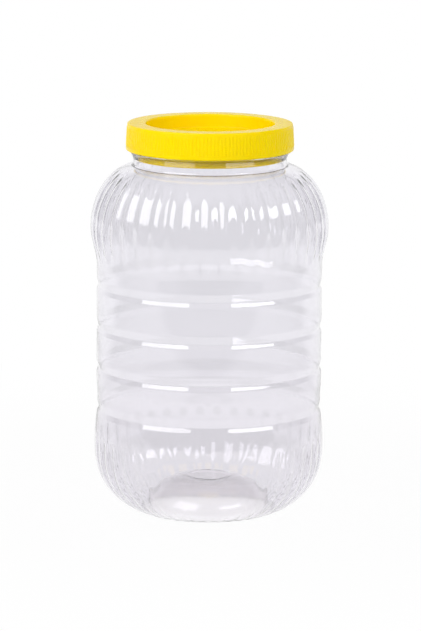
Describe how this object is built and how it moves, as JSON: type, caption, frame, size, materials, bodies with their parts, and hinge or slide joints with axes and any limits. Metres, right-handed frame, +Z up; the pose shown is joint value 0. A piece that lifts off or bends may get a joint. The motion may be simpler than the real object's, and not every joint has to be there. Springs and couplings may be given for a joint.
{
  "type": "pickle jar",
  "caption": "Clear wide-mouth plastic pickle jar with a fluted shoulder and base, grooved wall and a yellow ribbed screw lid with a sunken top.",
  "frame": {"origin": "middle of the jar's standing ring, on the plane that the jar stands on", "axes": "+Z up along the axis of the jar, its neck and its lid; the shape is turned, so X and Y are free"},
  "size_m": [0.1716, 0.1716, 0.2834],
  "materials": {
    "clear_plastic": "clear, glossy, blow-moulded polyester",
    "liner_foam": "matt closed-cell liner foam",
    "yellow_plastic": "satin-gloss injection-moulded polypropylene"
  },
  "bodies": {
    "jar": {"jar": "clear_plastic"},
    "seal": {"sealing_ring": "liner_foam"},
    "lid": {"screw_lid": "yellow_plastic"}
  },
  "joints": [
    {"name": "lid_lift", "type": "slide", "parent": "jar", "child": "seal", "axis": [0, 0, 1], "range_m": [0, 0.018]},
    {"name": "lid_turn", "type": "hinge", "parent": "seal", "child": "lid", "pos_m": [0, 0, 0.2834], "axis": [0, 0, 1], "range_deg": [0, 1080]}
  ],
  "couplings": [
    {"joint": "lid_lift", "follows": "lid_turn", "m_per_rad": 0.00095492}
  ]
}
